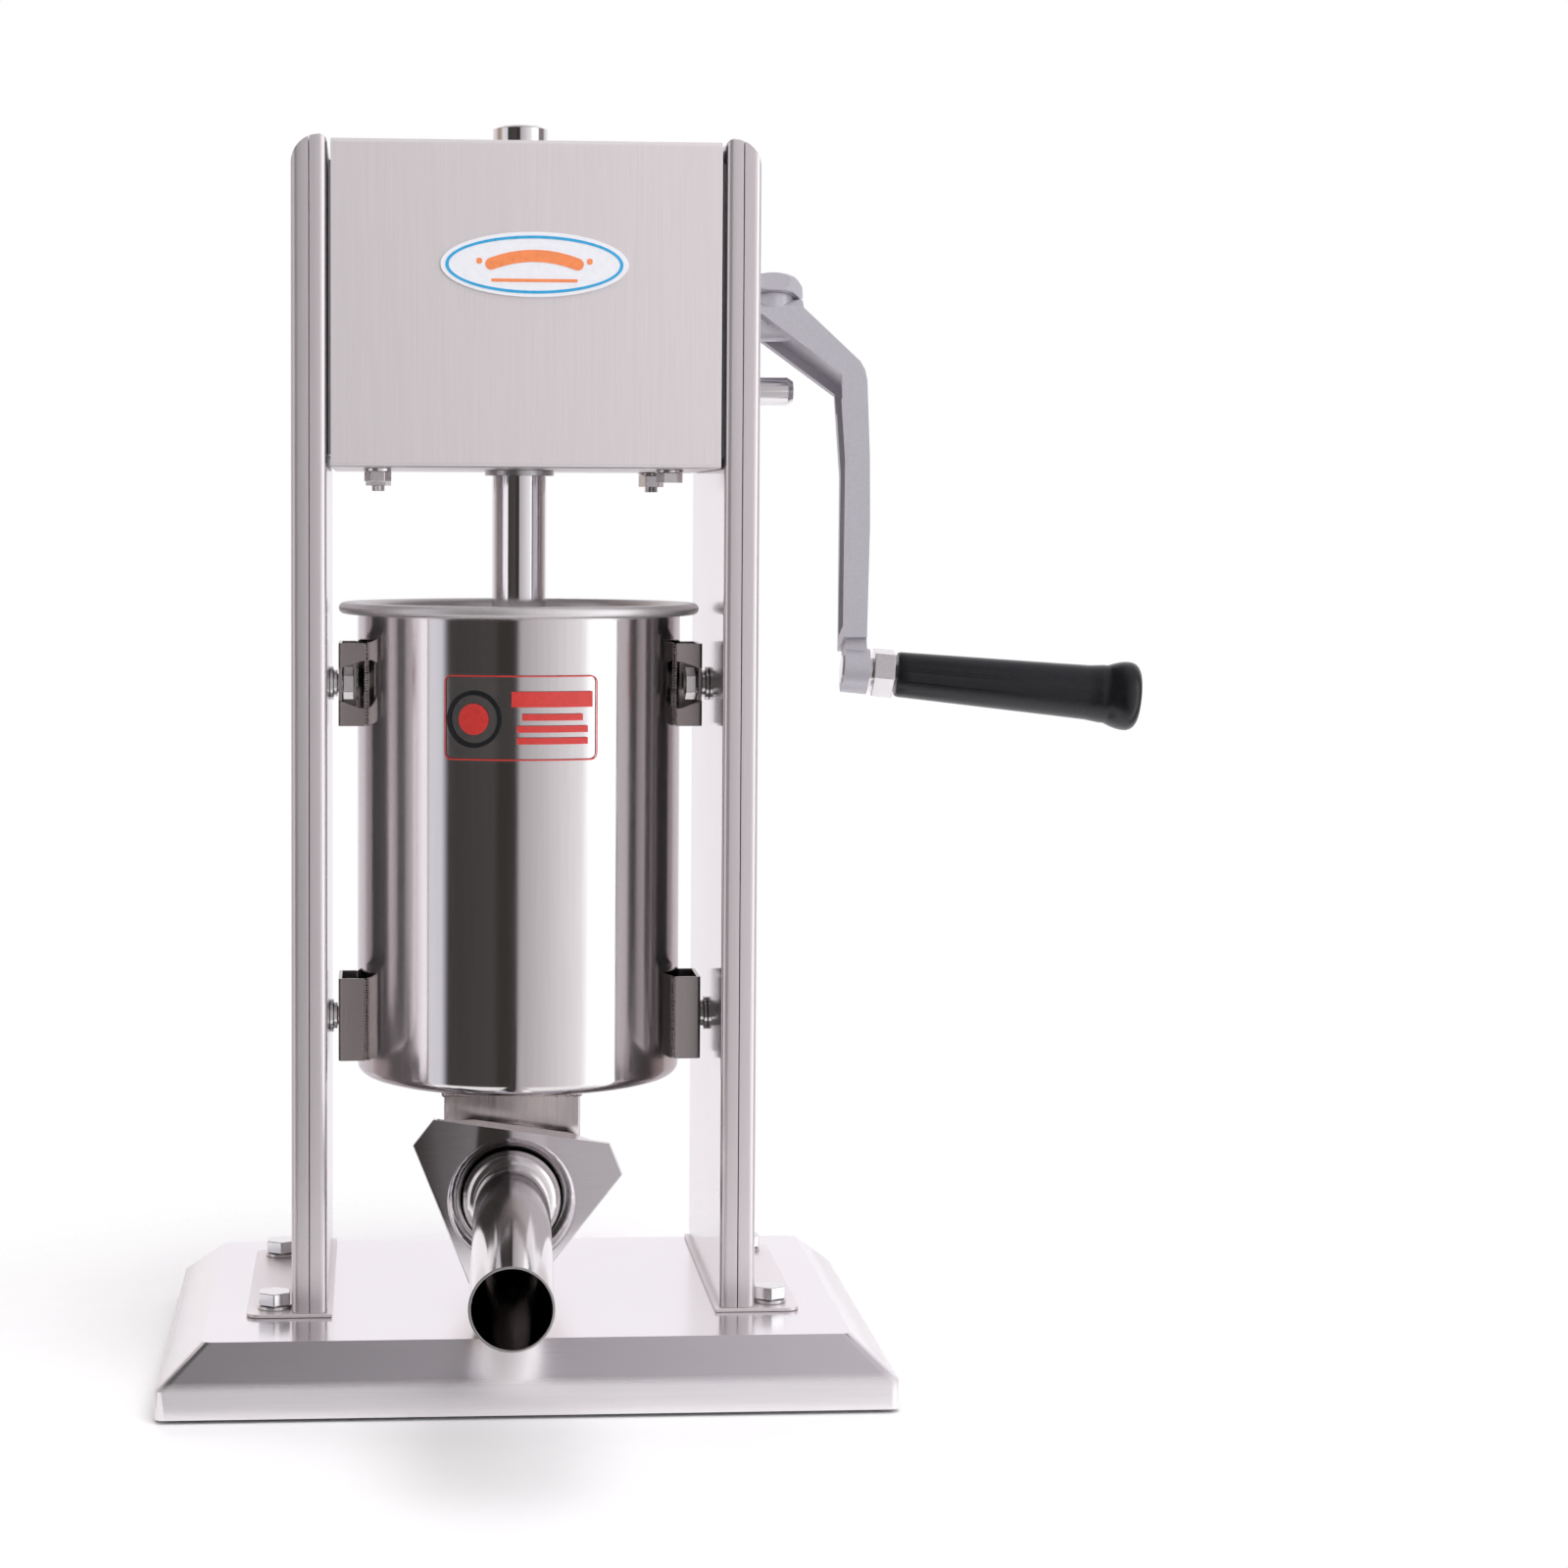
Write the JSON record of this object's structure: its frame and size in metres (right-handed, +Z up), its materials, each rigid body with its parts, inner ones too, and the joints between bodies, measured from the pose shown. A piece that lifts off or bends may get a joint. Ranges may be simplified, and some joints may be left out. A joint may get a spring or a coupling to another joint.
{
  "type": "sausage stuffer",
  "caption": "Upright hand-cranked sausage stuffer: steel frame and gearbox, rack-driven piston, hanging canister with outlet, stuffing tube and winged nut.",
  "frame": {"origin": "on the bench directly under the canister axis", "axes": "+Z up along the canister and rack axis, -Y to the front where the stuffing tube points, +X to the side with the crank"},
  "size_m": [0.42, 0.3523, 0.5355],
  "materials": {
    "brushed_sheet": "brushed",
    "foot_rubber": "matte",
    "bright_fasteners": "bright plated",
    "bearing_alloy": "machined",
    "gear_steel": "machined",
    "bronze": "satin",
    "polished_rod": "ground and polished",
    "cast_arm": "cast satin",
    "black_grip": "gloss",
    "polished_steel": "polished",
    "welded_steel": "satin",
    "seal_silicone": "satin",
    "badge_enamel": "gloss",
    "label_film": "satin"
  },
  "bodies": {
    "frame": {"base_pan": "brushed_sheet", "rubber_feet": "foot_rubber", "column_outer_left": "brushed_sheet", "column_outer_right": "brushed_sheet", "column_inner_left": "brushed_sheet", "column_inner_right": "brushed_sheet", "foot_plate_left": "brushed_sheet", "foot_plate_right": "brushed_sheet", "base_bolts": "bright_fasteners", "base_washers": "bright_fasteners", "base_nuts": "bright_fasteners", "gearbox_cover": "brushed_sheet", "gearbox_back": "brushed_sheet", "back_screws": "bright_fasteners", "bearing_block_left": "bearing_alloy", "bearing_block_right": "bearing_alloy", "block_screws": "bright_fasteners", "floor_plate": "bearing_alloy", "cover_bolts": "bright_fasteners", "cover_washers": "bright_fasteners", "cover_nuts": "bright_fasteners", "guide_bush_lower": "bearing_alloy", "guide_bush_upper": "bronze", "shaft_bushes": "bronze", "hanger_studs": "bright_fasteners", "hanger_nuts": "bright_fasteners", "badge": "badge_enamel"},
    "piston": {"rack_rod": "polished_rod", "piston_body": "polished_steel", "piston_seal": "seal_silicone", "piston_washer": "bright_fasteners", "piston_bolt": "bright_fasteners", "valve_body": "bronze"},
    "air_valve": {"valve_plunger": "polished_steel"},
    "main_shaft": {"main_shaft": "gear_steel", "main_gear": "gear_steel", "rack_pinion": "gear_steel", "gear_pins": "bright_fasteners"},
    "crank": {"pinion_shaft": "gear_steel", "crank_arm": "cast_arm", "crank_lock_screw": "cast_arm", "handle_stud": "bright_fasteners", "handle_nut": "bright_fasteners"},
    "grip": {"grip": "black_grip"},
    "canister": {"canister": "polished_steel", "hook_upper_left": "welded_steel", "hook_upper_right": "welded_steel", "hook_lower_left": "welded_steel", "hook_lower_right": "welded_steel", "outlet_box": "welded_steel", "nozzle_pipe": "welded_steel", "caution_label": "label_film"},
    "tube": {"stuffing_tube": "polished_steel"},
    "nut": {"wing_nut": "welded_steel"}
  },
  "joints": [
    {"name": "piston_lift", "type": "slide", "parent": "frame", "child": "piston", "axis": [0, 0, 1], "range_m": [0, 0.224]},
    {"name": "main_shaft_turn", "type": "hinge", "parent": "frame", "child": "main_shaft", "pos_m": [0, 0.02, 0.422], "axis": [1, 0, 0], "range_deg": [-1070, 0]},
    {"name": "crank_turn", "type": "hinge", "parent": "frame", "child": "crank", "pos_m": [0, 0.02, 0.4535], "axis": [1, 0, 0], "range_deg": [0, 2674]},
    {"name": "grip_spin", "type": "hinge", "parent": "crank", "child": "grip", "pos_m": [0.1443, -0.03606, 0.29948], "axis": [0.9952, -0.0334, -0.0917], "continuous": true},
    {"name": "air_valve_rise", "type": "slide", "parent": "piston", "child": "air_valve", "axis": [0, 0, 1], "range_m": [0, 0.003]},
    {"name": "canister_lift", "type": "slide", "parent": "frame", "child": "canister", "axis": [0, 0, 1], "range_m": [0, 0.004]},
    {"name": "tube_slide", "type": "slide", "parent": "canister", "child": "tube", "axis": [-0.0384, -0.9993, 0], "range_m": [0, 0.006]},
    {"name": "nut_turn", "type": "hinge", "parent": "tube", "child": "nut", "pos_m": [-0.00502, -0.06285, 0.077], "axis": [-0.0384, -0.9993, 0], "range_deg": [0, 720]}
  ],
  "couplings": [
    {"joint": "main_shaft_turn", "follows": "piston_lift", "rad_per_m": -83.333},
    {"joint": "crank_turn", "follows": "piston_lift", "rad_per_m": 208.33},
    {"joint": "tube_slide", "follows": "nut_turn", "m_per_rad": 0.00047746}
  ]
}
